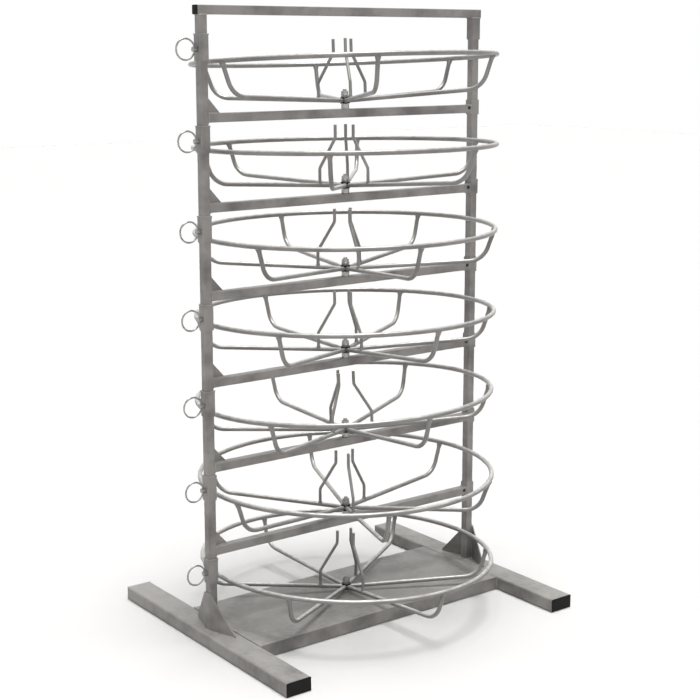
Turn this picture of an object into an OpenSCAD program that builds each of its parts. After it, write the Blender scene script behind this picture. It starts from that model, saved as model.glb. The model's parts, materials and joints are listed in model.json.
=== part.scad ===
// Seven-tier rotating basket rack for coils, free-standing, +Z up, millimetres.
// Each node is one sub-part; identical fasteners share a node as separate solids.

/* [Frame] */
// Distance between the two posts, centre to centre
span = 965; // [800:1:1160]
// Side of the square post, beam and top bar tube
tube_w = 25; // [20:1:30]
// Wall of the square tubes
tube_wall = 2; // [1.5:0.1:3]
// Outside corner radius of the square tubes
tube_r = 3; // [1:0.1:4]
// Height from one tier to the next
pitch = 243; // [200:1:292]
// Height of the top edge of the lowest sleeve above the floor
first_sleeve_top = 250; // [220:1:300]
// Gap between a sleeve's top edge and the beam above it
beam_gap = 8; // [4:0.5:14]
// Height of the top bar's underside above the highest sleeve
crown_rise = 50; // [36:1:70]
// Reach of the top bar past the outer face of each post
bar_over = 4; // [1:0.5:30]

/* [Sleeves and collars] */
// Wall of the sleeves and collars
sleeve_wall = 2; // [1:0.25:7]
// Gap between a sleeve's bore and the tube inside it
sleeve_slip = 0.5; // [0.2:0.05:1]
// Height of the left-hand sleeves
sleeve_h = 72; // [60:1:84]
// Depth to which the upper tube plugs into its sleeve
plug_depth = 52; // [46:1:56]
// Height of the lip round the top of each sleeve
lip_h = 3.5; // [2:0.5:6]
// Overhang of that lip
lip_over = 1; // [0.5:0.1:2]
// Collar height below the beam
collar_below = 5; // [3:0.5:10]
// Collar height above the beam
collar_above = 15; // [8:0.5:25]
// Height of the tapered ends of a collar
collar_taper = 4; // [2:0.5:5]
// Height of the fitting under the top bar's right end
crown_sleeve_h = 64; // [40:1:80]

/* [Beam details] */
// Diameter of the vent hole in each beam
vent_d = 11; // [8:0.5:13]
// Distance from the collar to the vent hole's edge
vent_inset = 2.5; // [1:0.5:20]
// Leg of the triangular beam gusset
gusset_leg = 44; // [30:1:60]
// Thickness of the gusset plates
plate_t = 4; // [3:0.5:6]
// Offset of the beam gusset behind the beam's centre
gusset_back = 5; // [0:0.5:8]

/* [Feet and tray] */
// Length of each foot
foot_len = 860; // [700:5:1040]
// Width of the foot tube
foot_w = 80; // [60:1:100]
// Height of the foot tube
foot_h = 40; // [30:1:50]
// Wall of the foot tube
foot_wall = 3; // [2:0.5:4]
// Outside corner radius of the foot tube
foot_r = 6; // [3:0.5:9]
// Depth by which the end plugs sit inside the feet
plug_inset = 3; // [1:0.5:8]
// Thickness of the end plugs
plug_t = 6; // [3:0.5:10]
// Height of the post gusset above the floor
brace_top = 150; // [110:1:180]
// Half length of the post gusset along the foot
brace_reach = 100; // [70:1:130]
// Distance by which each wing of the post gusset turns inward
brace_turn = 29; // [10:1:35]
// Height of the wing tips above the foot
brace_tip = 5; // [2:0.5:12]
// Reach of the tray in front of the posts
tray_front = 190; // [150:1:260]
// Reach of the tray behind the posts
tray_back = 165; // [130:1:260]
// Sheet thickness of the tray
tray_t = 3; // [2:0.5:4]
// Depth of the tray's folded edges
tray_lip = 38; // [20:1:40]

/* [Baskets] */
// Rod of the rim
rod_d = 13.5; // [8:0.5:15]
// Rod of the spokes
spoke_d = 12.5; // [7:0.5:13]
// Gap between the rim and the sleeve beside it
rim_gap = 20; // [12:0.5:60]
// Offset of the basket axis from the middle of the span
axis_shift = -5; // [-8:0.5:8]
// Height of the rim above its seat
rim_rise = 139; // [110:1:160]
// Height of the lowest basket's rim above the tray
rim_rise_low = 123; // [100:1:150]
// Height of the spokes above the seat at the hub
spoke_rise = 22.5; // [20:0.5:30]
// Height of the lowest basket's spokes above the tray at the hub
spoke_rise_low = 15; // [13:0.5:22]
// Slope of the spokes
spoke_slope = 3; // [0:0.5:6]
// Distance of the spoke's knee inside the rim
knee_inset = 34; // [28:1:60]
// Distance of the lowest basket's knees inside its rim
knee_inset_low = 24; // [20:1:50]
// Bend radius of the spoke's knee
knee_r = 60; // [30:1:70]
// Rod of the prongs
prong_d = 9; // [6:0.5:10]
// Radius at which the prongs stand on the spokes
prong_foot = 80; // [60:1:110]
// Radius of the circle of prong tips
prong_tip = 30; // [24:1:50]
// Upright length at the foot of a prong
prong_low = 43; // [20:1:50]
// Upright length at the tip of a prong
prong_high = 38; // [20:1:50]
// Gap between the prong tips and the beam above
prong_gap = 20; // [12:1:40]
// Bend radius of the prongs
prong_r = 14; // [8:1:20]

/* [Hubs] */
// Outside diameter of the hub bush
bush_d = 28; // [26:0.5:34]
// Diameter of the pivot bolt
bolt_d = 12; // [10:0.5:14]
// Radial clearance between bolt and bush
bolt_slip = 0.08; // [0.03:0.01:0.1]
// Diameter of the flange the bolt stands on
flange_d = 24; // [20:0.5:25]
// Height of the bush's lower end above the seat
bush_low = 14; // [9:0.5:15]
// Height of the lowest bush's lower end above the tray
bush_low_tray = 7; // [5:0.5:8]
// Length of the bush
bush_h = 24; // [22:0.5:34]
// Gap between the bush and the washer above it
end_play = 0.3; // [0.1:0.1:1]
// Diameter of the washer under the nut
washer_d = 24; // [20:0.5:30]
// Thickness of that washer
washer_t = 2.5; // [2:0.5:4]
// Width of the nut across its flats
nut_af = 19; // [17:0.5:24]
// Height of the nut
nut_h = 10; // [8:0.5:12]
// Length of thread above the nut
thread_out = 5; // [1:0.5:8]

/* [Lock pins] */
// Diameter of the lock pin
pin_d = 10; // [8:0.5:12]
// Radial clearance of the lock pin in its holes
pin_slip = 0.1; // [0.05:0.01:0.3]
// Depth of the pin's axis below the sleeve's top edge
pin_drop = 41; // [34:1:44]
// Length of pin past the far side of the sleeve
pin_past = 4.5; // [2:0.5:10]
// Diameter of the pin's head
head_d = 14; // [12:0.5:18]
// Length of the pin's head
head_len = 12; // [10:0.5:16]
// Gap between the head and the sleeve
head_gap = 0.2; // [0.1:0.1:1]
// Outside diameter of the pull ring
ring_od = 61; // [50:1:75]
// Wire of the pull ring
ring_wire = 5; // [4:0.5:6]
// Clearance between the ring's wire and the hole in the head
ring_slip = 1.05; // [0.95:0.05:1.6]

/* [Turn of each basket about its hub] */
// Turn of the first basket, counted from the top
turn_1 = 5; // [0:0.5:120]
// Turn of the second basket
turn_2 = 48; // [0:0.5:120]
// Turn of the third basket
turn_3 = 21; // [0:0.5:120]
// Turn of the fourth basket
turn_4 = 29; // [0:0.5:120]
// Turn of the fifth basket
turn_5 = 86; // [0:0.5:120]
// Turn of the sixth basket
turn_6 = 9; // [0:0.5:120]
// Turn of the seventh basket
turn_7 = 31.5; // [0:0.5:120]

/* [Lean of each hub, back edge up] */
// Lean of the first hub
nod_1 = -2.7; // [-3:0.1:3]
// Lean of the second hub
nod_2 = -1.1; // [-3:0.1:3]
// Lean of the third hub
nod_3 = -0.3; // [-3:0.1:3]
// Lean of the fourth hub
nod_4 = -1.6; // [-3:0.1:3]
// Lean of the fifth hub
nod_5 = -2.3; // [-3:0.1:3]
// Lean of the sixth hub
nod_6 = -0.2; // [-3:0.1:3]
// Lean of the seventh hub
nod_7 = -0.5; // [-3:0.1:3]

/* [Lean of each hub, right side up] */
// Side lean of the first hub
roll_1 = 0.2; // [-3:0.1:3]
// Side lean of the second hub
roll_2 = -0.1; // [-3:0.1:3]
// Side lean of the third hub
roll_3 = 0.5; // [-3:0.1:3]
// Side lean of the fourth hub
roll_4 = -0.2; // [-3:0.1:3]
// Side lean of the fifth hub
roll_5 = 1; // [-3:0.1:3]
// Side lean of the sixth hub
roll_6 = 0.1; // [-3:0.1:3]
// Side lean of the seventh hub
roll_7 = -1.9; // [-3:0.1:3]

/* [Hidden] */
$fn = 48;
TIERS = 7;
SPOKES = 6;
PRONGS = 3;
TURN = [turn_1, turn_2, turn_3, turn_4, turn_5, turn_6, turn_7];
NOD = [nod_1, nod_2, nod_3, nod_4, nod_5, nod_6, nod_7];
ROLL = [roll_1, roll_2, roll_3, roll_4, roll_5, roll_6, roll_7];
cut = 1;
post_x = span / 2;
half_t = tube_w / 2;
sleeve_bore = tube_w + 2 * sleeve_slip;
sleeve_w = sleeve_bore + 2 * sleeve_wall;
half_s = sleeve_w / 2;
bar_low = first_sleeve_top + (TIERS - 1) * pitch + crown_rise;
beam_left = -post_x + half_t;
beam_right = post_x - half_s;
seal_h = 4;
bead = 0.25;
lap = 1;
weld_sink = 0.03;
stack_gap = 0.4;
rim_r = post_x - half_s - rim_gap - rod_d / 2 - abs(axis_shift);
head_x = -post_x - half_s - head_gap;
ring_r = (ring_od - ring_wire) / 2;
ring_x = head_x - head_len / 2;
// The rings reach past the left foot, so the rack is shifted to centre its bounding box.
left_reach = ring_r + ring_od / 2 - ring_x;
right_reach = post_x + foot_w / 2;
shift_x = (left_reach - right_reach) / 2;
tray_h = min(tray_lip, foot_h);
vent_x = beam_right - vent_inset - vent_d / 2;

// Tiers count from the top, 1 to 7; tier 7 stands on the tray.
function sleeve_top(t) = first_sleeve_top + (TIERS - t) * pitch;
function beam_top(t) = sleeve_top(t + 1) + beam_gap + tube_w;
function seat_z(t) = t == TIERS ? foot_h : beam_top(t);
function rise(t) = t == TIERS ? rim_rise_low : rim_rise;
function prong_top(t) = pitch - tube_w - prong_gap - (t == TIERS ? spoke_rise - spoke_rise_low : 0);
function spoke_h(t, r) = (t == TIERS ? spoke_rise_low : spoke_rise) + r * tan(spoke_slope);
function bush_base(t) = t == TIERS ? bush_low_tray : bush_low;
function nut_low(t) = bush_base(t) + bush_h + end_play + washer_t;

// ---------- shared shapes ----------

module round_square(w, d, r) {
    square([w - 2 * r, d], center = true);
    square([w, d - 2 * r], center = true);
    for (x = [-1, 1])
        for (y = [-1, 1])
            translate([x * (w / 2 - r), y * (d / 2 - r)])
                circle(r);
}

// Square tube standing on the XY plane
module box_tube(w, d, h, wall, r) {
    linear_extrude(h)
        difference() {
            round_square(w, d, r);
            square([w - 2 * wall, d - 2 * wall], center = true);
        }
}

// Square tube lying along X between two ends
module beam_tube(x0, x1, z_low) {
    translate([x0, 0, z_low + half_t])
        rotate([90, 0, 90])
            box_tube(tube_w, tube_w, x1 - x0, tube_wall, tube_r);
}

module pin_hole(t) {
    translate([-post_x - half_s - cut, 0, sleeve_top(t) - pin_drop])
        rotate([0, 90, 0])
            cylinder(h = sleeve_w + 2 * cut, r = pin_d / 2 + pin_slip);
}

// Everything on a hub is drawn about its own axis, then leaned onto its seat
module on_hub(t) {
    translate([axis_shift, 0, seat_z(t)])
        rotate([NOD[t - 1], -ROLL[t - 1], 0])
            children();
}

module rack() {
    translate([shift_x, 0, 0])
        children();
}

// Bent rod through points [radius, height]: straight legs that run into slightly fuller bends
function leg_dir(p, i) = atan2(p[i + 1][1] - p[i][1], p[i + 1][0] - p[i][0]);
function turn_at(p, i) = leg_dir(p, i) - leg_dir(p, i - 1);
function trim_at(p, i, rb) = i == 0 || i == len(p) - 1 ? 0 : rb * tan(abs(turn_at(p, i)) / 2);
function lap_at(p, i) = i == 0 || i == len(p) - 1 ? 0 : lap;

module rod_leg(p, i, d, rb) {
    from = trim_at(p, i, rb) - lap_at(p, i);
    to = norm(p[i + 1] - p[i]) - trim_at(p, i + 1, rb) + lap_at(p, i + 1);
    translate([p[i][0], 0, p[i][1]])
        rotate([0, 90 - leg_dir(p, i), 0])
            translate([0, 0, from])
                cylinder(h = to - from, d = d);
}

module rod_bend(p, i, d, rb) {
    a = leg_dir(p, i - 1);
    turn = turn_at(p, i);
    side = sign(turn);
    t = trim_at(p, i, rb);
    from = turn > 0 ? a - 90 : a + 90 + turn;
    translate([
        p[i][0] - t * cos(a) - side * rb * sin(a), 0,
        p[i][1] - t * sin(a) + side * rb * cos(a)
    ])
        rotate([90, 0, 0])
            rotate([0, 0, from])
                rotate_extrude(angle = abs(turn))
                    translate([rb, 0])
                        circle(d = d + 2 * bead);
}

module rod_path(p, d, rb) {
    for (i = [0 : len(p) - 2])
        rod_leg(p, i, d, rb);
    for (i = [1 : len(p) - 2])
        rod_bend(p, i, d, rb);
}

// ---------- feet, tray and posts ----------

module feet() {
    color([0.52, 0.51, 0.49])
        for (s = [-1, 1])
            translate([s * post_x, foot_len / 2, foot_h / 2])
                rotate([90, 0, 0])
                    box_tube(foot_w, foot_h, foot_len, foot_wall, foot_r);
}

module base_tray() {
    half = post_x - foot_w / 2;
    color([0.54, 0.53, 0.51]) {
        translate([-half, -tray_front, foot_h - tray_t])
            cube([2 * half, tray_front + tray_back, tray_t]);
        translate([-half, -tray_front, foot_h - tray_h])
            cube([2 * half, tray_t, tray_h]);
        translate([-half, tray_back - tray_t, foot_h - tray_h])
            cube([2 * half, tray_t, tray_h]);
    }
}

// Folded plate on the outer face of each post, drawn for the right post
module brace_plan() {
    polygon([
        [0, -half_t], [-brace_turn, -brace_reach], [plate_t - brace_turn, -brace_reach],
        [plate_t, -half_t], [plate_t, half_t], [plate_t - brace_turn, brace_reach],
        [-brace_turn, brace_reach], [0, half_t]
    ]);
}

module brace() {
    rise_h = brace_top - foot_h;
    intersection() {
        translate([half_t, 0, foot_h])
            linear_extrude(rise_h)
                brace_plan();
        translate([-foot_w / 2, 0, foot_h])
            rotate([90, 0, 90])
                linear_extrude(foot_w)
                    polygon([
                        [-brace_reach, 0], [brace_reach, 0], [brace_reach, brace_tip],
                        [half_t, rise_h], [-half_t, rise_h], [-brace_reach, brace_tip]
                    ]);
    }
}

module post_gussets() {
    color([0.5, 0.49, 0.47])
        for (s = [0, 1])
            mirror([s, 0, 0])
                translate([post_x, 0, 0])
                    brace();
}

module right_post() {
    color([0.52, 0.51, 0.49])
        translate([post_x, 0, foot_h])
            box_tube(tube_w, tube_w, bar_low - foot_h, tube_wall, tube_r);
}

// Left post: one tube per tier, each plugged into the sleeve below it
module left_tubes() {
    cuts = concat([foot_h], [for (t = [TIERS : -1 : 1]) sleeve_top(t) - plug_depth], [bar_low]);
    color([0.52, 0.51, 0.49])
        for (i = [0 : TIERS])
            translate([-post_x, 0, cuts[i]])
                difference() {
                    box_tube(
                        tube_w, tube_w, cuts[i + 1] - cuts[i] - (i < TIERS ? stack_gap : 0),
                        tube_wall, tube_r
                    );
                    if (i > 0)
                        translate([post_x, 0, -cuts[i]])
                            pin_hole(TIERS + 1 - i);
                }
}

module top_bar() {
    reach = post_x + half_t + bar_over;
    color([0.53, 0.52, 0.5])
        beam_tube(-reach, reach, bar_low);
}

module end_plugs() {
    reach = post_x + half_t + bar_over;
    inner = tube_w - 2 * tube_wall;
    color([0.05, 0.05, 0.05]) {
        for (s = [-1, 1])
            for (e = [-1, 1])
                translate([s * post_x, e * (foot_len / 2 - plug_inset - plug_t / 2), foot_h / 2])
                    cube([foot_w - 2 * foot_wall, plug_t, foot_h - 2 * foot_wall], center = true);
        for (s = [0, 1])
            mirror([s, 0, 0])
                translate([reach, 0, bar_low + half_t])
                    rotate([90, 0, 90]) {
                        linear_extrude(plug_inset)
                            round_square(tube_w, tube_w, tube_r);
                        translate([-inner / 2, -inner / 2, -plug_t])
                            cube([inner, inner, plug_t]);
                    }
    }
}

// ---------- sleeves, collars and beams ----------

module sleeve(t) {
    low = sleeve_top(t) - sleeve_h;
    difference() {
        translate([-post_x, 0, low])
            difference() {
                union() {
                    linear_extrude(sleeve_h)
                        round_square(sleeve_w, sleeve_w, tube_r);
                    translate([0, 0, sleeve_h - lip_h])
                        linear_extrude(lip_h)
                            round_square(sleeve_w + 2 * lip_over, sleeve_w + 2 * lip_over, tube_r);
                }
                translate([0, 0, seal_h])
                    linear_extrude(sleeve_h)
                        square(sleeve_bore, center = true);
                translate([0, 0, -cut])
                    linear_extrude(sleeve_h)
                        round_square(tube_w, tube_w, tube_r);
            }
        pin_hole(t);
    }
}

module sleeves() {
    color([0.51, 0.5, 0.48])
        for (t = [1 : TIERS])
            sleeve(t);
}

// Block with its upper and lower edges tapered towards the post
module collar_body(h) {
    narrow = sleeve_bore / 2 + 0.5;
    side = [
        [-half_s, collar_taper], [-narrow, 0], [narrow, 0], [half_s, collar_taper],
        [half_s, h - collar_taper], [narrow, h], [-narrow, h], [-half_s, h - collar_taper]
    ];
    intersection() {
        linear_extrude(h)
            round_square(sleeve_w, sleeve_w, tube_r);
        rotate([90, 0, 0])
            linear_extrude(sleeve_w, center = true)
                polygon(side);
        rotate([90, 0, 90])
            linear_extrude(sleeve_w, center = true)
                polygon(side);
    }
}

module right_collars() {
    h = tube_w + collar_below + collar_above;
    color([0.51, 0.5, 0.48]) {
        for (t = [1 : TIERS - 1])
            translate([post_x, 0, beam_top(t) - tube_w - collar_below])
                difference() {
                    collar_body(h);
                    translate([0, 0, -cut])
                        linear_extrude(h + 2 * cut)
                            square(sleeve_bore, center = true);
                }
        translate([post_x, 0, bar_low - crown_sleeve_h])
            difference() {
                linear_extrude(crown_sleeve_h)
                    round_square(sleeve_w, sleeve_w, tube_r);
                translate([0, 0, -cut])
                    linear_extrude(crown_sleeve_h + 2 * cut)
                        square(sleeve_bore, center = true);
            }
    }
}

module tier_beam(t) {
    color([0.53, 0.52, 0.5])
        difference() {
            beam_tube(beam_left, beam_right, beam_top(t) - tube_w);
            translate([vent_x, -half_t - cut, beam_top(t) - vent_d / 2 - tube_wall - 2])
                rotate([-90, 0, 0])
                    cylinder(h = tube_wall + 2 * cut, d = vent_d);
        }
}

module beam_gussets() {
    color([0.52, 0.51, 0.49])
        for (t = [1 : TIERS - 1])
            translate([beam_left, gusset_back + plate_t / 2, beam_top(t)])
                rotate([90, 0, 0])
                    linear_extrude(plate_t)
                        polygon([[0, 0], [gusset_leg, 0], [plate_t, gusset_leg], [0, gusset_leg]]);
}

// ---------- hubs ----------

// Welded flange and stud, cut level by the seat it stands on
module pivot_bolts() {
    color([0.3, 0.3, 0.3])
        for (t = [1 : TIERS])
            difference() {
                on_hub(t)
                    union() {
                        translate([0, 0, -2])
                            cylinder(h = bush_base(t) + 2 - end_play, d = flange_d);
                        cylinder(h = nut_low(t) + nut_h + thread_out, d = bolt_d);
                    }
                translate([axis_shift - flange_d, -flange_d, seat_z(t) - flange_d])
                    cube([2 * flange_d, 2 * flange_d, flange_d]);
            }
}

module pivot_nuts() {
    color([0.78, 0.78, 0.76])
        for (t = [1 : TIERS])
            on_hub(t)
                difference() {
                    union() {
                        translate([0, 0, nut_low(t) - washer_t])
                            cylinder(h = washer_t, d = washer_d);
                        translate([0, 0, nut_low(t)])
                            cylinder(h = nut_h, d = nut_af / cos(30), $fn = 6);
                    }
                    cylinder(h = nut_low(t) + nut_h + cut, d = bolt_d);
                }
}

module hub_bush(t) {
    color([0.5, 0.49, 0.47])
        on_hub(t)
            translate([0, 0, bush_base(t)])
                difference() {
                    cylinder(h = bush_h, d = bush_d);
                    translate([0, 0, -cut])
                        cylinder(h = bush_h + 2 * cut, r = bolt_d / 2 + bolt_slip);
                }
}

// ---------- baskets ----------

module basket_rim(t) {
    color([0.62, 0.61, 0.59])
        on_hub(t)
            translate([0, 0, rise(t)])
                rotate_extrude()
                    translate([rim_r, 0])
                        circle(d = rod_d);
}

// The last leg stops where its end face meets the rim's rod
function knee_at(t) = rim_r - (t == TIERS ? knee_inset_low : knee_inset);
function spoke_knee(t) = [knee_at(t), spoke_h(t, knee_at(t))];
function spoke_end(t) =
    let (rim = [rim_r, rise(t)], leg = rim - spoke_knee(t))
    rim - leg / norm(leg) * (rod_d / 2 - weld_sink);
function spoke_pts(t) = [
    [bolt_d / 2 + 3, spoke_h(t, bolt_d / 2 + 3)],
    spoke_knee(t),
    spoke_end(t)
];

module basket_spokes(t) {
    color([0.62, 0.61, 0.59])
        on_hub(t)
            for (i = [0 : SPOKES - 1])
                rotate([0, 0, TURN[t - 1] + i * 360 / SPOKES])
                    difference() {
                        rod_path(spoke_pts(t), spoke_d, knee_r);
                        translate([0, 0, bush_base(t)])
                            cylinder(h = bush_h, d = bush_d);
                    }
}

function prong_pts(t) = [
    [prong_foot, spoke_h(t, prong_foot)],
    [prong_foot, spoke_h(t, prong_foot) + spoke_d / 2 + prong_low],
    [prong_tip, prong_top(t) - prong_high],
    [prong_tip, prong_top(t)]
];

module basket_prongs(t) {
    color([0.62, 0.61, 0.59])
        on_hub(t)
            for (i = [0 : PRONGS - 1])
                rotate([0, 0, TURN[t - 1] + i * 360 / PRONGS])
                    difference() {
                        rod_path(prong_pts(t), prong_d, prong_r);
                        rod_leg(spoke_pts(t), 0, spoke_d, knee_r);
                    }
}

// ---------- lock pins ----------

module lock_pin(t) {
    shank = head_gap + sleeve_w + pin_past;
    color([0.6, 0.6, 0.58])
        translate([head_x, 0, sleeve_top(t) - pin_drop])
            difference() {
                rotate([0, 90, 0])
                    union() {
                        cylinder(h = shank, d = pin_d);
                        translate([0, 0, -head_len])
                            cylinder(h = head_len, d = head_d);
                    }
                translate([-head_len / 2, 0, -head_d / 2 - cut])
                    cylinder(h = head_d + 2 * cut, r = ring_wire / 2 + ring_slip);
            }
}

module pull_ring(t) {
    color([0.66, 0.66, 0.64])
        translate([ring_x - ring_r, 0, sleeve_top(t) - pin_drop])
            rotate([90, 0, 0])
                rotate_extrude()
                    translate([ring_r, 0])
                        circle(d = ring_wire);
}

// ---------- nodes ----------

rack()
        feet();
rack()
        base_tray();
rack()
        post_gussets();
rack()
        right_post();
rack()
        left_tubes();
rack()
        top_bar();
rack()
        end_plugs();
rack()
        sleeves();
rack()
        right_collars();
rack()
        beam_gussets();
rack()
        pivot_bolts();
rack()
        pivot_nuts();
rack()  // tier_beam_1
        tier_beam(1);
rack()  // tier_beam_2
        tier_beam(2);
rack()  // tier_beam_3
        tier_beam(3);
rack()  // tier_beam_4
        tier_beam(4);
rack()  // tier_beam_5
        tier_beam(5);
rack()  // tier_beam_6
        tier_beam(6);
rack()  // basket_rim_1
        basket_rim(1);
rack()  // basket_rim_2
        basket_rim(2);
rack()  // basket_rim_3
        basket_rim(3);
rack()  // basket_rim_4
        basket_rim(4);
rack()  // basket_rim_5
        basket_rim(5);
rack()  // basket_rim_6
        basket_rim(6);
rack()  // basket_rim_7
        basket_rim(7);
rack()  // basket_spokes_1
        basket_spokes(1);
rack()  // basket_spokes_2
        basket_spokes(2);
rack()  // basket_spokes_3
        basket_spokes(3);
rack()  // basket_spokes_4
        basket_spokes(4);
rack()  // basket_spokes_5
        basket_spokes(5);
rack()  // basket_spokes_6
        basket_spokes(6);
rack()  // basket_spokes_7
        basket_spokes(7);
rack()  // basket_prongs_1
        basket_prongs(1);
rack()  // basket_prongs_2
        basket_prongs(2);
rack()  // basket_prongs_3
        basket_prongs(3);
rack()  // basket_prongs_4
        basket_prongs(4);
rack()  // basket_prongs_5
        basket_prongs(5);
rack()  // basket_prongs_6
        basket_prongs(6);
rack()  // basket_prongs_7
        basket_prongs(7);
rack()  // hub_bush_1
        hub_bush(1);
rack()  // hub_bush_2
        hub_bush(2);
rack()  // hub_bush_3
        hub_bush(3);
rack()  // hub_bush_4
        hub_bush(4);
rack()  // hub_bush_5
        hub_bush(5);
rack()  // hub_bush_6
        hub_bush(6);
rack()  // hub_bush_7
        hub_bush(7);
rack()  // lock_pin_1
        lock_pin(1);
rack()  // lock_pin_2
        lock_pin(2);
rack()  // lock_pin_3
        lock_pin(3);
rack()  // lock_pin_4
        lock_pin(4);
rack()  // lock_pin_5
        lock_pin(5);
rack()  // lock_pin_6
        lock_pin(6);
rack()  // lock_pin_7
        lock_pin(7);
rack()  // pull_ring_1
        pull_ring(1);
rack()  // pull_ring_2
        pull_ring(2);
rack()  // pull_ring_3
        pull_ring(3);
rack()  // pull_ring_4
        pull_ring(4);
rack()  // pull_ring_5
        pull_ring(5);
rack()  // pull_ring_6
        pull_ring(6);
rack()  // pull_ring_7
        pull_ring(7);
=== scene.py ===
# %% [markdown]
# # A rack of turning wire baskets
# Coils of hose, rope or wire lie in seven round baskets, one above the other, and each basket
# turns on its own stud. The solid model of the rack is already made, so this lesson dresses
# it: round rods swept along bent lines, weld beads, nuts, plugs, paint and light.

# %% Load the solid model
import bpy, bmesh, json, math
from mathutils import Matrix, Vector


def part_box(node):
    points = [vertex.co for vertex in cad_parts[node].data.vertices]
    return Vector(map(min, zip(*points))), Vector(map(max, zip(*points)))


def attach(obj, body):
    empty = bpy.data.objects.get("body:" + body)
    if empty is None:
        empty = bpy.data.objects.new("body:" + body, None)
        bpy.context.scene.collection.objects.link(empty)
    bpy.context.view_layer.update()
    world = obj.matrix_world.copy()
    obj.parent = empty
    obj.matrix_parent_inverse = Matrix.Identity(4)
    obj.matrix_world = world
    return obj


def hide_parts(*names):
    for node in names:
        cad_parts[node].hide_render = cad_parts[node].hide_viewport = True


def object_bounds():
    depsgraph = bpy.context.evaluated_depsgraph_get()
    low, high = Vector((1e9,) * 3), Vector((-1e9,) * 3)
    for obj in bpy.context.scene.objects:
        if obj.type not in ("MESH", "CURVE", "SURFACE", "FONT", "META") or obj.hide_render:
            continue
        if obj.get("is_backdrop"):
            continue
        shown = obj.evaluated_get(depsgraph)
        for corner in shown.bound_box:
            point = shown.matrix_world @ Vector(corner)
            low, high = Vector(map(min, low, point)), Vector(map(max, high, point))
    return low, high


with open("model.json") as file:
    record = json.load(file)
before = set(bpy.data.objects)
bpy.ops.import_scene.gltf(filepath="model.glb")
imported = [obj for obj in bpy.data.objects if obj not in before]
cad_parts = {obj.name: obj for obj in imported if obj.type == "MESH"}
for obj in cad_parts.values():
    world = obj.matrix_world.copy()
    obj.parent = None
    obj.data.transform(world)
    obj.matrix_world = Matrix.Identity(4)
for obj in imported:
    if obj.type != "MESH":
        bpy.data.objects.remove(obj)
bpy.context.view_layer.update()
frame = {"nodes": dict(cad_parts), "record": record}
nodes = frame["nodes"]
MM = 0.001
TIERS = range(1, 8)

# %% [markdown]
# ## Where everything is
# Positions come from the model itself. Each basket's stud stands a little out of true, so the
# joint's own point and axis give a matrix that carries a basket drawn upright at the origin
# onto its stud.

# %% Read the stud of each tier
joints = {j["name"]: j for j in frame["record"]["behaviour"]["joints"]}

def hub_matrix(tier):
    joint = joints[f"basket_spin_{tier}"]
    x, y, z = Vector(joint["axis"]).normalized()
    lean = Matrix.Rotation(math.atan2(x, z), 4, "Y") @ Matrix.Rotation(-math.asin(y), 4, "X")
    return Matrix.Translation(joint["pos_m"]) @ lean

HUB = {tier: hub_matrix(tier) for tier in TIERS}
TURN = dict(zip(TIERS, (5, 48, 21, 29, 86, 9, 31.5)))
LOWEST = 7

def middle(node):
    low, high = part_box(node)
    return (Vector(low) + Vector(high)) / 2

post_right = middle("right_post").x
post_left = middle("left_tubes").x
foot_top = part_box("feet")[1][2]
bar_low, bar_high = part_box("top_bar")
beam_top = {t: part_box(f"tier_beam_{t}")[1][2] for t in range(1, 7)}
beam_ends = (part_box("tier_beam_1")[0][0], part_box("tier_beam_1")[1][0])
print("posts at", round(post_left, 4), round(post_right, 4), "foot top", round(foot_top, 4))

# %% [markdown]
# ## Colours and one helper for nodes
# Paint charts and screens give colours as hex codes, which are bent by a curve made for
# the eye. Light adds up in straight numbers, so each code is turned back to linear first.
# One helper adds a node, sets its options and wires its inputs, for materials and geometry
# alike.

# %% Helpers for colours and nodes
def linear(code):
    parts = [int(code[i:i + 2], 16) / 255 for i in (1, 3, 5)]
    return [c / 12.92 if c <= 0.04045 else ((c + 0.055) / 1.055) ** 2.4 for c in parts] + [1]

def add(tree, kind, inputs=None, **settings):
    made = tree.nodes.new(kind)
    for key, value in settings.items():
        setattr(made, key, value)
    for key, value in (inputs or {}).items():
        if isinstance(value, bpy.types.NodeSocket):
            tree.links.new(value, made.inputs[key])
        else:
            made.inputs[key].default_value = value
    return made

def start_material(name, metallic, specular=0.5):
    mat = bpy.data.materials.new(name)
    mat.use_nodes = True
    tree = mat.node_tree
    shader = tree.nodes["Principled BSDF"]
    shader.inputs["Metallic"].default_value = metallic
    shader.inputs["Specular IOR Level"].default_value = specular
    where = add(tree, "ShaderNodeTexCoord").outputs["Object"]
    return mat, tree, shader, where

print("helpers ready")
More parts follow.
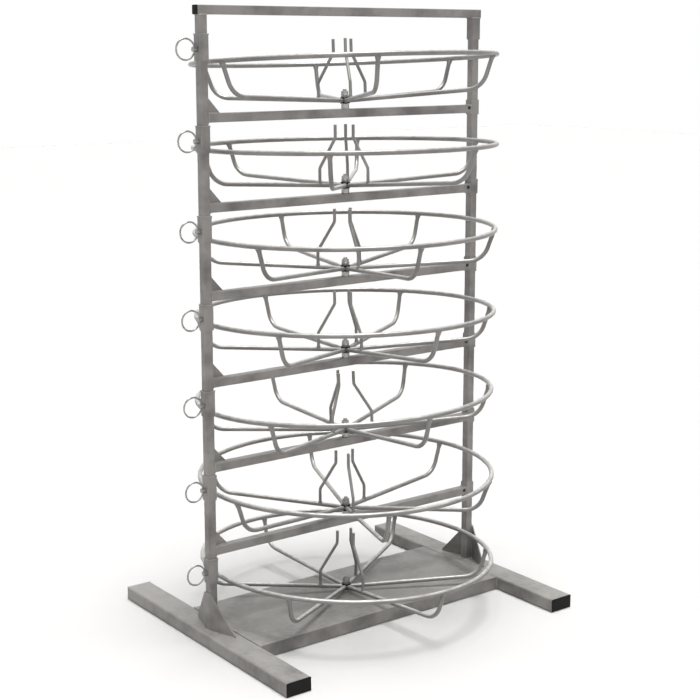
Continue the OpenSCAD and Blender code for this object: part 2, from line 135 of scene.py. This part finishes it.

# %% [markdown]
# ## Silver-grey enamel on steel tube
# The frame is sprayed with a cheap aluminium-flake enamel and stoved. It has a satin gloss, a
# fine orange-peel skin about 2 mm across, cloudy patches a hand wide where the spray was
# thick or thin, and a film of dust on everything that faces up; that up-facing lightening is also a
# painted top highlight, strongest on the rods. Small scuffs show where coils were dragged past.
# Noise at each of those sizes drives colour, roughness and bump.

# %% Enamel paint
def enamel(name, dark, base, dust_and_top_sheen, metallic, rough, peel_mm=2.0, peel=0.05, wear=0.35,
           top_dust_and_sheen=0.6):
    mat, tree, shader, where = start_material(name, metallic)
    cloud = add(tree, "ShaderNodeTexNoise", {"Vector": where, "Scale": 9, "Detail": 3,
                                             "Roughness": 0.6}).outputs["Fac"]
    patch = add(tree, "ShaderNodeMapRange", {"Value": cloud, "From Min": 0.32, "From Max": 0.58})
    coat = add(tree, "ShaderNodeMix", {"Factor": patch.outputs[0], 6: linear(dark),
                                       7: linear(base)}, data_type="RGBA")
    # Dust together with a painted top highlight: faces that point up are mixed towards the light
    # third colour.
    up = add(tree, "ShaderNodeSeparateXYZ",
             {0: add(tree, "ShaderNodeNewGeometry").outputs["Normal"]}).outputs["Z"]
    grit = add(tree, "ShaderNodeTexNoise",
               {"Vector": where, "Scale": 60, "Detail": 4}).outputs["Fac"]
    top_dust_and_sheen_mask = add(tree, "ShaderNodeMapRange", {"Value": up, "From Min": 0.3, "From Max": 1.0,
                                            "To Max": top_dust_and_sheen}).outputs[0]
    dust_and_sheen_amount = add(tree, "ShaderNodeMath", {0: top_dust_and_sheen_mask, 1: grit}, operation="MULTIPLY").outputs[0]
    dust_and_sheen_mix = add(tree, "ShaderNodeMix", {"Factor": dust_and_sheen_amount, 6: coat.outputs[2], 7: linear(dust_and_top_sheen)},
                data_type="RGBA")
    scuff = add(tree, "ShaderNodeTexNoise", {"Vector": where, "Scale": 38, "Detail": 8,
                                             "Roughness": 0.75, "Distortion": 1.5}).outputs["Fac"]
    worn = add(tree, "ShaderNodeMapRange", {"Value": scuff, "From Min": 0.66, "From Max": 0.74,
                                            "To Max": wear}).outputs[0]
    colour = add(tree, "ShaderNodeMix", {"Factor": worn, 6: dust_and_sheen_mix.outputs[2],
                                         7: linear("#d4d2cd")}, data_type="RGBA")
    gloss = add(tree, "ShaderNodeMapRange", {"Value": grit, "To Min": rough - 0.05,
                                             "To Max": rough + 0.07}).outputs[0]
    skin = add(tree, "ShaderNodeTexNoise", {"Vector": where, "Scale": 1000 / peel_mm,
                                            "Detail": 2}).outputs["Fac"]
    bump = add(tree, "ShaderNodeBump", {"Height": skin, "Strength": 0.35,
                                        "Distance": peel * MM})
    tree.links.new(colour.outputs[2], shader.inputs["Base Color"])
    tree.links.new(gloss, shader.inputs["Roughness"])
    tree.links.new(bump.outputs[0], shader.inputs["Normal"])
    return mat

# The light third colour is dust and a painted top highlight on up-facing faces.
frame_enamel = enamel("satin silver-grey stoved enamel", "#615e5d", "#84817e", "#aaa8a4",
                      0.15, 0.36)
# On the rods the strong up-facing lightening is mainly a painted top highlight, with some dust.
rod_enamel = enamel("silver-grey enamel on drawn rod", "#6a6866", "#7e7c7a", "#d0cfcb",
                    0.25, 0.32, peel=0.015, wear=0.12, top_dust_and_sheen=1.5)
# Welds are brushed, not ground, so the same paint lies over a coarser, rippled ground.
# Its colours are lighter than the frame's as a painted highlight, so beads and lips catch the
# light.
weld_enamel_painted_highlight = enamel("lightened enamel over weld beads, painted highlight", "#7d7a76", "#999691", "#b5b3ae", 0.2, 0.34,
                     peel_mm=1.2, peel=0.3)
print("three enamels made")

# %% [markdown]
# ## Zinc, oiled steel and black polyethylene
# Nuts, pins and rings are bright zinc plated: a hard mirror dulled by passivation, with
# crystal patches 3 or 4 mm across. The bearings in the hubs are dark, oiled steel. The plugs
# are moulded polyethylene, with a spark-eroded grain about half a millimetre wide.

# %% Plated, oiled and moulded finishes
def plated(name, dark, light, rough, crystal_mm, bite):
    mat, tree, shader, where = start_material(name, 1.0)
    cell = add(tree, "ShaderNodeTexVoronoi", {"Vector": where, "Scale": 1000 / crystal_mm})
    tone = add(tree, "ShaderNodeSeparateColor", {0: cell.outputs["Color"]}).outputs[0]
    stain = add(tree, "ShaderNodeTexNoise", {"Vector": where, "Scale": 120, "Detail": 5})
    both = add(tree, "ShaderNodeMath", {0: tone, 1: stain.outputs["Fac"]}, operation="MULTIPLY")
    colour = add(tree, "ShaderNodeMix", {"Factor": both.outputs[0], 6: linear(light),
                                         7: linear(dark)}, data_type="RGBA")
    gloss = add(tree, "ShaderNodeMapRange", {"Value": both.outputs[0], "To Min": rough,
                                             "To Max": rough + 0.25})
    bump = add(tree, "ShaderNodeBump", {"Height": stain.outputs["Fac"], "Strength": bite,
                                        "Distance": 0.1 * MM})
    tree.links.new(colour.outputs[2], shader.inputs["Base Color"])
    tree.links.new(gloss.outputs[0], shader.inputs["Roughness"])
    tree.links.new(bump.outputs[0], shader.inputs["Normal"])
    return mat

zinc = plated("bright zinc plate", "#6f6e6b", "#a9a8a4", 0.3, 3.5, 0.2)
oiled = plated("dark oiled bearing steel", "#191817", "#3d3a38", 0.35, 6, 0.4)

def moulded(name, code):
    mat, tree, shader, where = start_material(name, 0.0)
    grain = add(tree, "ShaderNodeTexVoronoi", {"Vector": where, "Scale": 2000},
                feature="SMOOTH_F1").outputs["Distance"]
    grey = add(tree, "ShaderNodeTexNoise", {"Vector": where, "Scale": 80, "Detail": 4})
    colour = add(tree, "ShaderNodeMix", {"Factor": grey.outputs["Fac"], 6: linear(code),
                                         7: linear("#111010")}, data_type="RGBA")
    bump = add(tree, "ShaderNodeBump", {"Height": grain, "Strength": 0.3, "Distance": 0.1 * MM})
    shader.inputs["Roughness"].default_value = 0.6
    shader.inputs["Specular IOR Level"].default_value = 0.2
    tree.links.new(colour.outputs[2], shader.inputs["Base Color"])
    tree.links.new(bump.outputs[0], shader.inputs["Normal"])
    return mat

black_poly = moulded("grained black polyethylene", "#050505")
print("plated, oiled and moulded finishes made")

# %% Paint the nodes that keep their solid shape
def paint(node, mat):
    mesh = nodes[node].data
    mesh.materials.clear()
    mesh.materials.append(mat)

kept = ["feet", "base_tray", "post_gussets", "right_post", "left_tubes", "top_bar", "sleeves",
        "right_collars", "beam_gussets"] + [f"tier_beam_{t}" for t in range(1, 7)]
for name in kept:
    paint(name, frame_enamel)
for tier in TIERS:
    paint(f"lock_pin_{tier}", zinc)
print("painted", len(kept) + 7, "solid nodes")

# %% [markdown]
# ## Growing rods with Geometry Nodes
# A bent rod is a line with rounded corners, thickened. That is a rule, so a node tree makes it:
# mesh edges become a curve, its corners are filleted, a small circle is swept along
# it, and the result is copied round the hub. The weld where a rod ends is a slight swelling
# of the same sweep. Every size is a named input, so one tree makes spokes and prongs.

# %% Geometry tree for bent rods round a hub
def new_tree(name, inputs):
    tree = bpy.data.node_groups.new(name, "GeometryNodeTree")
    tree.interface.new_socket("Geometry", in_out="INPUT", socket_type="NodeSocketGeometry")
    for label, kind in inputs:
        tree.interface.new_socket(label, in_out="INPUT", socket_type="NodeSocket" + kind)
    tree.interface.new_socket("Geometry", in_out="OUTPUT", socket_type="NodeSocketGeometry")
    return tree, add(tree, "NodeGroupInput").outputs

def close_tree(tree, geometry, material):
    real = add(tree, "GeometryNodeRealizeInstances", {0: geometry}).outputs[0]
    smooth = add(tree, "GeometryNodeSetShadeSmooth", {0: real}).outputs[0]
    dressed = add(tree, "GeometryNodeSetMaterial", {0: smooth, "Material": material}).outputs[0]
    add(tree, "NodeGroupOutput", {0: dressed})
    return tree

def rod_tree():
    tree, given = new_tree("bent rods round a hub", [
        ("Rod Radius", "Float"), ("Bend Radius", "Float"), ("Copies", "Int"),
        ("Weld Swell", "Float"), ("Weld Share", "Float"), ("Material", "Material")])
    line = add(tree, "GeometryNodeMeshToCurve", {0: given["Geometry"]}).outputs[0]
    bent = add(tree, "GeometryNodeFilletCurve", {0: line, "Count": 14, "Limit Radius": True,
                                                 "Radius": given["Bend Radius"]}, mode="POLY")
    even = add(tree, "GeometryNodeResampleCurve", {0: bent.outputs[0], "Length": 4 * MM},
               mode="LENGTH").outputs[0]
    along = add(tree, "GeometryNodeSplineParameter").outputs["Factor"]
    near = add(tree, "ShaderNodeMath", {0: 1.0, 1: given["Weld Share"]}, operation="SUBTRACT")
    swell = add(tree, "ShaderNodeMapRange", {"Value": along, "From Min": near.outputs[0],
                                             "From Max": 1.0, "To Min": 1.0,
                                             "To Max": given["Weld Swell"]},
                interpolation_type="SMOOTHSTEP").outputs[0]
    ring = add(tree, "GeometryNodeCurvePrimitiveCircle", {"Resolution": 16,
                                                          "Radius": given["Rod Radius"]})
    rod = add(tree, "GeometryNodeCurveToMesh", {0: even, 1: ring.outputs[0], "Scale": swell,
                                                "Fill Caps": True}).outputs[0]
    spots = add(tree, "GeometryNodePoints", {"Count": given["Copies"]}).outputs[0]
    step = add(tree, "ShaderNodeMath", {0: math.tau, 1: given["Copies"]}, operation="DIVIDE")
    turn = add(tree, "ShaderNodeMath", {0: add(tree, "GeometryNodeInputIndex").outputs[0],
                                        1: step.outputs[0]}, operation="MULTIPLY").outputs[0]
    spread = add(tree, "ShaderNodeCombineXYZ", {"Z": turn}).outputs[0]
    copies = add(tree, "GeometryNodeInstanceOnPoints", {0: spots, "Instance": rod,
                                                        "Rotation": spread}).outputs[0]
    return close_tree(tree, copies, given["Material"])

ROD = rod_tree()
print("tree:", ROD.name, "with", len(ROD.nodes), "nodes")

# %% [markdown]
# ## Turning a tree into a piece
# The export knows nothing of modifiers that make instances, so each result is baked to a plain
# mesh. The drawing lines go in, the tree runs once, the mesh is moved to its place, and
# the modifier goes away with the helper object.

# %% Bake a tree into one mesh
def grow(name, tree, lines, values, place=Matrix()):
    mesh = bpy.data.meshes.new(name + "_line")
    points, edges = [], []
    for line in lines:
        first = len(points)
        points += [Vector(p) for p in line]
        edges += [(first + i, first + i + 1) for i in range(len(line) - 1)]
    mesh.from_pydata(points, edges, [])
    helper = bpy.data.objects.new(name + "_line", mesh)
    bpy.context.collection.objects.link(helper)
    modifier = helper.modifiers.new("grow", "NODES")
    modifier.node_group = tree
    for item in tree.interface.items_tree:
        if item.in_out == "INPUT" and item.name in values:
            modifier[item.identifier] = values[item.name]
    helper.update_tag()
    view = bpy.context.evaluated_depsgraph_get()
    grown = bpy.data.meshes.new_from_object(helper.evaluated_get(view), depsgraph=view)
    helper.modifiers.clear()
    bpy.data.objects.remove(helper)
    grown.transform(place)
    grown.name = name
    piece = bpy.data.objects.new(name, grown)
    bpy.context.collection.objects.link(piece)
    return piece

def dress(piece, body, slot_name, *stands_for):
    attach(piece, body)
    if stands_for:
        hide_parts(*stands_for)
    return piece

print("grow and dress ready")

# %% [markdown]
# ## Spokes and prongs
# Six spokes leave the hub almost level, sweep up through a wide bend and meet the rim from
# below. Three thinner prongs stand on every other spoke and lean in towards the hub, so that
# a coil drops over them. All are drawn as flat lines, radius against height.

# %% Grow spokes and prongs
RIM_R, RIM_ROD, SPOKE_ROD, PRONG_ROD = 435.75 * MM, 13.5 * MM, 12.5 * MM, 9 * MM
KNEE_R = {t: RIM_R - (24 if t == LOWEST else 34) * MM for t in TIERS}
RISE = {t: (123 if t == LOWEST else 139) * MM for t in TIERS}
PRONG_TOP = {t: (190.5 if t == LOWEST else 198) * MM for t in TIERS}
FOOT_R, TIP_R = 80 * MM, 30 * MM
HUB_END, SPOKE_BEND, PRONG_BEND = 11 * MM, 60 * MM, 16 * MM
SPOKE_BASE = {t: (15 if t == LOWEST else 22.5) * MM for t in TIERS}
SPOKE_SLOPE = math.tan(math.radians(3))

def spoke_height(tier, r):
    return SPOKE_BASE[tier] + r * SPOKE_SLOPE

for tier in TIERS:
    turned = HUB[tier] @ Matrix.Rotation(math.radians(TURN[tier]), 4, "Z")
    knee = KNEE_R[tier]
    spoke = [(HUB_END, 0, spoke_height(tier, HUB_END)), (knee, 0, spoke_height(tier, knee)),
             (RIM_R - 1.5 * MM, 0, RISE[tier] - 3 * MM)]
    dress(grow(f"spokes_{tier}", ROD, [spoke], {
        "Rod Radius": SPOKE_ROD / 2, "Bend Radius": SPOKE_BEND, "Copies": 6,
        "Weld Swell": 1.45, "Weld Share": 0.035, "Material": rod_enamel}, turned),
        f"basket_{tier}", "basket_wire", f"basket_spokes_{tier}")
    top, stand = PRONG_TOP[tier], spoke_height(tier, FOOT_R)
    prong = [(TIP_R, 0, top), (TIP_R, 0, top - 38 * MM),
             (FOOT_R, 0, stand + 48.5 * MM), (FOOT_R, 0, stand + 4 * MM)]
    dress(grow(f"prongs_{tier}", ROD, [prong], {
        "Rod Radius": PRONG_ROD / 2, "Bend Radius": PRONG_BEND, "Copies": 3,
        "Weld Swell": 1.5, "Weld Share": 0.05, "Material": rod_enamel}, turned),
        f"basket_{tier}", "basket_wire", f"basket_prongs_{tier}")
print("spokes and prongs for", len(TIERS), "baskets")

# %% [markdown]
# ## Rims and pull rings
# A rim is a hoop of 13.5 mm rod, butt welded. A second small tree sweeps a circle round a
# circle; it makes the hoops and the wire pull rings alike.

# %% Grow rims and pull rings
def hoop_tree():
    tree, given = new_tree("round hoop", [("Hoop Radius", "Float"), ("Wire Radius", "Float"),
                                          ("Around", "Int"), ("Material", "Material")])
    big = add(tree, "GeometryNodeCurvePrimitiveCircle", {"Resolution": given["Around"],
                                                         "Radius": given["Hoop Radius"]})
    small = add(tree, "GeometryNodeCurvePrimitiveCircle", {"Resolution": 16,
                                                           "Radius": given["Wire Radius"]})
    hoop = add(tree, "GeometryNodeCurveToMesh", {0: big.outputs[0], 1: small.outputs[0]})
    return close_tree(tree, hoop.outputs[0], given["Material"])

HOOP = hoop_tree()
RING_R, RING_WIRE = 28 * MM, 5 * MM
for tier in TIERS:
    dress(grow(f"rim_{tier}", HOOP, [], {
        "Hoop Radius": RIM_R, "Wire Radius": RIM_ROD / 2, "Around": 192,
        "Material": rod_enamel}, HUB[tier] @ Matrix.Translation((0, 0, RISE[tier]))),
        f"basket_{tier}", "basket_wire", f"basket_rim_{tier}")
    where = Matrix.Translation(middle(f"pull_ring_{tier}")) @ Matrix.Rotation(math.pi / 2, 4, "X")
    dress(grow(f"ring_wire_{tier}", HOOP, [], {
        "Hoop Radius": RING_R, "Wire Radius": RING_WIRE / 2, "Around": 64,
        "Material": zinc}, where),
        f"ring_{tier}", "zinc", f"pull_ring_{tier}")
print("rims and rings made")

# %% [markdown]
# ## Turned hub parts and nuts
# What a lathe makes is an outline spun round an axis. Each hub runs between two dark bearing
# discs, with the spokes welded to the boss between them. Nuts are six-sided blocks with every
# edge broken by a small bevel. All seven hubs are alike.

# %% Lathe, nut and plug helpers
def finish_mesh(name, bm, mat, places, smooth_angle=40):
    bmesh.ops.remove_doubles(bm, verts=bm.verts, dist=1e-6)
    bmesh.ops.recalc_face_normals(bm, faces=bm.faces)
    mesh = bpy.data.meshes.new(name)
    bm.to_mesh(mesh)
    bm.free()
    whole = bmesh.new()
    for place in places:
        copy = mesh.copy()
        copy.transform(place)
        whole.from_mesh(copy)
        bpy.data.meshes.remove(copy)
    whole.to_mesh(mesh)
    whole.free()
    mesh.materials.append(mat)
    mesh.shade_smooth()
    mesh.set_sharp_from_angle(angle=math.radians(smooth_angle))
    piece = bpy.data.objects.new(name, mesh)
    bpy.context.collection.objects.link(piece)
    return piece

def lathe(outline, steps=40):
    bm = bmesh.new()
    loop = [bm.verts.new((r * MM, 0, z * MM)) for r, z in outline]
    edges = [bm.edges.new((loop[i], loop[(i + 1) % len(loop)])) for i in range(len(loop))]
    bmesh.ops.spin(bm, geom=loop + edges, axis=(0, 0, 1), cent=(0, 0, 0), steps=steps,
                   angle=math.tau, use_merge=True)
    return bm

def nut(across, low, high):
    bm = bmesh.new()
    size = (high - low) * MM
    corner = across / 2 / math.cos(math.pi / 6) * MM
    bmesh.ops.create_cone(bm, cap_ends=True, segments=6, radius1=corner, radius2=corner,
                          depth=size, matrix=Matrix.Translation((0, 0, low * MM + size / 2)))
    bmesh.ops.bevel(bm, geom=bm.edges[:], offset=0.9 * MM, segments=2, affect="EDGES")
    return bm

def join(*parts):
    whole = bmesh.new()
    for bm in parts:
        mesh = bpy.data.meshes.new("part")
        bm.to_mesh(mesh)
        bm.free()
        whole.from_mesh(mesh)
        bpy.data.meshes.remove(mesh)
    return whole

print("lathe, nut and join ready")

# %% Bearings, studs and nuts
# Heights in millimetres above the beam; the lowest stack starts 7 mm further down.
DISCS = ([(6.2, 14.3), (13, 14.3), (13.9, 15.2), (13.9, 19), (13, 19.9), (6.2, 19.9)],
         [(6.2, 26.4), (13, 26.4), (13.9, 27.3), (13.9, 32), (13, 32.9), (6.2, 32.9)])
BOSS = [(6.2, 19.9), (12.2, 19.9), (12.2, 26.4), (6.2, 26.4)]
COLLAR = [(6.2, 32.9), (10.6, 32.9), (11, 33.3), (11, 37.4), (10.6, 37.8), (6.2, 37.8)]
WASHER = [(6.2, 38.4), (11.6, 38.4), (12, 38.8), (12, 40.3), (11.6, 40.7), (6.2, 40.7)]
STUD = [(0, 0), (6, 0), (6, 51), (5.6, 54.8), (4.9, 55.6), (0, 55.6)]
DROP = {t: HUB[t] @ Matrix.Translation((0, 0, -7 * MM if t == LOWEST else 0)) for t in TIERS}
for tier in TIERS:
    place, body = [DROP[tier]], f"basket_{tier}"
    dress(finish_mesh(f"hub_discs_{tier}", join(*map(lathe, DISCS)), oiled, place), body,
          "basket_wire")
    dress(finish_mesh(f"hub_boss_{tier}", join(lathe(BOSS), lathe(COLLAR)), rod_enamel, place),
          body, "basket_wire", f"hub_bush_{tier}")
stacks, upper = list(DROP.values()), [DROP[t] for t in TIERS if t != LOWEST]
stud_pieces = [(0, 13.7, upper), (7.2, 13.7, [DROP[LOWEST]])]
for i, (low, high, places) in enumerate(stud_pieces):
    dress(finish_mesh(f"spacer_nuts_{i + 1}", nut(20.6, low, high), zinc, places), "frame",
          "bare_steel")
    stud = [(r, max(z, low)) for r, z in STUD]
    dress(finish_mesh(f"studs_{i + 1}", lathe(stud), zinc, places), "frame", "bare_steel",
          *(["pivot_bolts"] if i == 0 else []))
dress(finish_mesh("top_nuts", join(nut(18.8, 40.7, 50.4), lathe(WASHER)), zinc, stacks),
      "frame", "zinc", "pivot_nuts")
print("hubs dressed:", len(stacks))

# %% [markdown]
# ## Thread above the nuts
# The last turns of thread show above each nut. A thread is a ridge wound round a rod, so a
# spiral curve is swept with a tiny circle. The M12 coarse pitch is 1.75 mm.

# %% Grow the threads
def thread_tree():
    tree, given = new_tree("thread ridge", [("Radius", "Float"), ("Height", "Float"),
                                            ("Turns", "Float"), ("Ridge", "Float"),
                                            ("Material", "Material")])
    coil = add(tree, "GeometryNodeCurveSpiral", {
        "Resolution": 24, "Rotations": given["Turns"], "Start Radius": given["Radius"],
        "End Radius": given["Radius"], "Height": given["Height"]}).outputs[0]
    small = add(tree, "GeometryNodeCurvePrimitiveCircle", {"Resolution": 6,
                                                           "Radius": given["Ridge"]}).outputs[0]
    ridge = add(tree, "GeometryNodeCurveToMesh", {0: coil, 1: small, "Fill Caps": True})
    return close_tree(tree, ridge.outputs[0], given["Material"])

THREAD = thread_tree()
for tier in TIERS:
    dress(grow(f"thread_{tier}", THREAD, [], {
        "Radius": 5.5 * MM, "Height": 4.4 * MM, "Turns": 2.5, "Ridge": 0.45 * MM,
        "Material": zinc}, DROP[tier] @ Matrix.Translation((0, 0, 50.2 * MM))), "frame", "zinc")
print("threads grown")

# %% [markdown]
# ## Black plugs
# The feet and the top bar end in pushed-in plugs with a thin flange. On the feet a hair of grey
# tube shows round each flange. They are moulded, so their edges are rounded.

# %% Plugs in the feet and the top bar
def block(low, high, bevel_mm):
    bm = bmesh.new()
    size = Vector(high) - Vector(low)
    centre = (Vector(high) + Vector(low)) / 2
    bmesh.ops.create_cube(bm, size=1,
                          matrix=Matrix.Translation(centre) @ Matrix.Diagonal(size.to_4d()))
    bmesh.ops.bevel(bm, geom=bm.edges[:], offset=bevel_mm * MM, segments=3, affect="EDGES")
    return bm

plugs = []
foot_low, foot_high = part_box("feet")
WALL, LIP, FOOT_HALF = 3 * MM, 1.8 * MM, 40 * MM
BAR_WALL, BAR_FLANGE = 2.2 * MM, 3 * MM
for x in (post_left, post_right):
    for y, inward in ((foot_low[1], 1), (foot_high[1], -1)):
        for inset, front, back in ((WALL, 1 * MM, 9 * MM), (0.7 * MM, -LIP, 0)):
            ends = sorted((y + inward * front, y + inward * back))
            plugs.append(block((x - FOOT_HALF + inset, ends[0], inset),
                               (x + FOOT_HALF - inset, ends[1], foot_top - inset), 0.8))
for x, s in ((bar_low[0], -1), (bar_high[0], 1)):
    ends = sorted((x - s * 6 * MM, x + s * BAR_FLANGE))
    flange = sorted((x, x + s * BAR_FLANGE))
    plugs.append(block((ends[0], bar_low[1] + BAR_WALL, bar_low[2] + BAR_WALL),
                       (ends[1], bar_high[1] - BAR_WALL, bar_high[2] - BAR_WALL), 0.5))
    plugs.append(block((flange[0], bar_low[1], bar_low[2]),
                       (flange[1], bar_high[1], bar_high[2]), 1.2))
dress(finish_mesh("plugs", join(*plugs), black_poly, [Matrix()]), "frame", "black_plastic",
      "end_plugs")
print("plugs moulded")

# %% [markdown]
# ## Weld beads
# Every joint of the frame is a hand weld: a row of overlapping scallops about 3 mm apart. The
# tree walks along each seam, drops a ball at every step, and varies its size
# from a fixed seed, as a hand does.

# %% Geometry tree for weld beads
def bead_tree():
    tree, given = new_tree("weld beads on a seam", [
        ("Step", "Float"), ("Bead Radius", "Float"), ("Seed", "Int"), ("Material", "Material")])
    line = add(tree, "GeometryNodeMeshToCurve", {0: given["Geometry"]}).outputs[0]
    walk = add(tree, "GeometryNodeCurveToPoints", {0: line, "Length": given["Step"]}, mode="LENGTH")
    ball = add(tree, "GeometryNodeMeshIcoSphere", {"Radius": given["Bead Radius"],
                                                   "Subdivisions": 2}).outputs[0]
    vary = add(tree, "FunctionNodeRandomValue", {2: 0.8, 3: 1.2, "Seed": given["Seed"]},
               data_type="FLOAT").outputs[1]
    drops = add(tree, "GeometryNodeInstanceOnPoints", {
        0: walk.outputs["Points"], "Instance": ball, "Rotation": walk.outputs["Rotation"],
        "Scale": vary}).outputs[0]
    return close_tree(tree, drops, given["Material"])

BEAD = bead_tree()
print("tree:", BEAD.name)

# %% Lay the frame's welds
def square_loop(centre, half, across):
    u, v = across
    corners = [(1, 1), (1, -1), (-1, -1), (-1, 1), (1, 1)]
    return [Vector(centre) + half * (a * Vector(u) + b * Vector(v)) for a, b in corners]

X, Y, Z = (1, 0, 0), (0, 1, 0), (0, 0, 1)
half_tube, half_collar = 12.5 * MM, 15 * MM
GUSSET_UP, GUSSET_ALONG = 44 * MM, 42 * MM
WING_REACH, WING_TURN, WING_MIDDLE, WING_OUT = 98 * MM, 29 * MM, 13 * MM, 16.5 * MM
POST_WELD_TOP, TRAY_WELD_LOW = 148 * MM, 4 * MM
seams = []
for tier, top in beam_top.items():
    mid = top - half_tube
    for x in beam_ends:
        seams.append(square_loop((x, 0, mid), half_tube, (Y, Z)))
    left = beam_ends[0]
    for y in (3 * MM, 7 * MM):
        seams.append([(left, y, top + GUSSET_UP), (left, y, top),
                      (left + GUSSET_ALONG, y, top)])
for x in (post_left, post_right):
    side = 1 if x > 0 else -1
    seams.append(square_loop((x, 0, foot_top), half_tube, (X, Y)))
    outer = x + side * WING_OUT
    tip = outer - side * WING_TURN
    seams.append([(tip, -WING_REACH, foot_top), (outer, -WING_MIDDLE, foot_top),
                  (outer, WING_MIDDLE, foot_top), (tip, WING_REACH, foot_top)])
    for y in (-half_tube, half_tube):
        face = x + side * half_tube
        seams.append([(face, y, foot_top), (face, y, POST_WELD_TOP)])
    tray_low, tray_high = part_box("base_tray")
    edge = tray_low[0] if side < 0 else tray_high[0]
    seams.append([(edge, tray_low[1], TRAY_WELD_LOW), (edge, tray_low[1], foot_top),
                  (edge, tray_high[1], foot_top), (edge, tray_high[1], TRAY_WELD_LOW)])
seams.append(square_loop((post_left, 0, bar_low[2]), half_tube, (X, Y)))
seams.append(square_loop((post_right, 0, bar_low[2]), half_collar, (X, Y)))
# The beads use the lighter weld enamel, a painted highlight.
welds = grow("weld_beads", BEAD, seams, {"Step": 3 * MM, "Bead Radius": 1.9 * MM, "Seed": 7,
                                         "Material": weld_enamel_painted_highlight})
dress(welds, "frame", "frame_paint")
print("weld beads:", len(seams), "seams,", len(welds.data.polygons), "faces")

# %% [markdown]
# ## Rolled lips
# The top of each sleeve is belled so that the next tube drops in easily. A thin rounded
# edge runs round it and catches the light, helped by the lighter weld enamel as a painted
# highlight.

# %% Grow the sleeve lips
PITCH, LIP_WIRE = 243 * MM, 1.2 * MM
sleeve_tops = [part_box("sleeves")[1][2] - PITCH * i for i in range(len(TIERS))]
lips = [square_loop((post_left, 0, top - 1.1 * MM), 15.1 * MM, (X, Y)) for top in sleeve_tops]
# The lips use the lighter weld enamel, a painted highlight on the edge.
dress(grow("sleeve_lips", ROD, lips, {
    "Rod Radius": LIP_WIRE, "Bend Radius": 3 * MM, "Copies": 1, "Weld Swell": 1.0,
    "Weld Share": 0.01, "Material": weld_enamel_painted_highlight}), "frame", "frame_paint")
print("lips:", len(lips))

# %% [markdown]
# ## Floor, light and camera
# A pale floor fades into a pale world. A soft skylight comes from overhead, so tops are
# brightest, and a small lamp stands beside the camera to lift the faces towards it. The camera
# stands where a person's eye would, turned about 37 degrees.

# %% Floor and lights
floor_mat, tree, shader, where = start_material("pale matte studio floor", 0.0, 0.2)
speck = add(tree, "ShaderNodeTexNoise", {"Vector": where, "Scale": 3, "Detail": 4})
tone = add(tree, "ShaderNodeMix", {"Factor": speck.outputs["Fac"], 6: linear("#bebdbc"),
                                   7: linear("#c3c2c1")}, data_type="RGBA")
tree.links.new(tone.outputs[2], shader.inputs["Base Color"])
shader.inputs["Roughness"].default_value = 0.9
bm = bmesh.new()
FLOOR_HALF = 20
bmesh.ops.create_grid(bm, x_segments=1, y_segments=1, size=FLOOR_HALF)
mesh = bpy.data.meshes.new("floor")
bm.to_mesh(mesh)
bm.free()
mesh.transform(Matrix.Translation((0, 0, -0.5 * MM)))
mesh.materials.append(floor_mat)
floor = bpy.data.objects.new("floor", mesh)
bpy.context.collection.objects.link(floor)
floor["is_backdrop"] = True

def area_light(name, spot, target, size, watts):
    data = bpy.data.lights.new(name, "AREA")
    data.shape = "DISK"
    data.size = size
    data.energy = watts
    lamp = bpy.data.objects.new(name, data)
    lamp.location = spot
    lamp.rotation_euler = (Vector(target) - Vector(spot)).to_track_quat("-Z", "Y").to_euler()
    bpy.context.collection.objects.link(lamp)

area_light("beside the camera", (-3.0, -4.0, 2.6), (0, 0, 0.9), 0.8, 42)
data = bpy.data.lights.new("soft skylight", "SUN")
data.energy, data.angle = 4.9, math.radians(34)
skylight = bpy.data.objects.new("soft skylight", data)
skylight.rotation_euler = Vector((0.02, -0.06, 1.0)).to_track_quat("Z", "Y").to_euler()
bpy.context.collection.objects.link(skylight)
world = bpy.data.worlds.new("pale studio")
world.use_nodes = True
sky = world.node_tree
ray = add(sky, "ShaderNodeSeparateXYZ", {0: add(sky, "ShaderNodeTexCoord").outputs["Generated"]})
fade = add(sky, "ShaderNodeMapRange", {"Value": ray.outputs["Z"], "From Min": 0.15,
                                       "From Max": 0.5, "To Min": 1.0, "To Max": 0.3})
sky.links.new(fade.outputs[0], sky.nodes["Background"].inputs["Strength"])
sky.nodes["Background"].inputs["Color"].default_value = linear("#ffffff")
bpy.context.scene.world = world
bpy.context.scene.view_settings.view_transform = "Standard"
print("floor and lights set")

# %% Camera
lens = bpy.data.cameras.new("camera")
lens.sensor_width = 36
lens.lens = 74.163
lens.shift_x, lens.shift_y = 0.0167, -0.0608
lens.clip_end = 60
camera = bpy.data.objects.new("camera", lens)
camera.location = (-2.4897, -3.3417, 1.6683)
camera.rotation_euler = [math.radians(a) for a in (79.817, 0.1436, -36.584)]
bpy.context.collection.objects.link(camera)
bpy.context.scene.camera = camera
print("camera", tuple(round(v, 3) for v in camera.location))

# %% Check the size and finish
low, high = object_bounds()
print("visual box", [round(v, 4) for v in (*low, *high)])
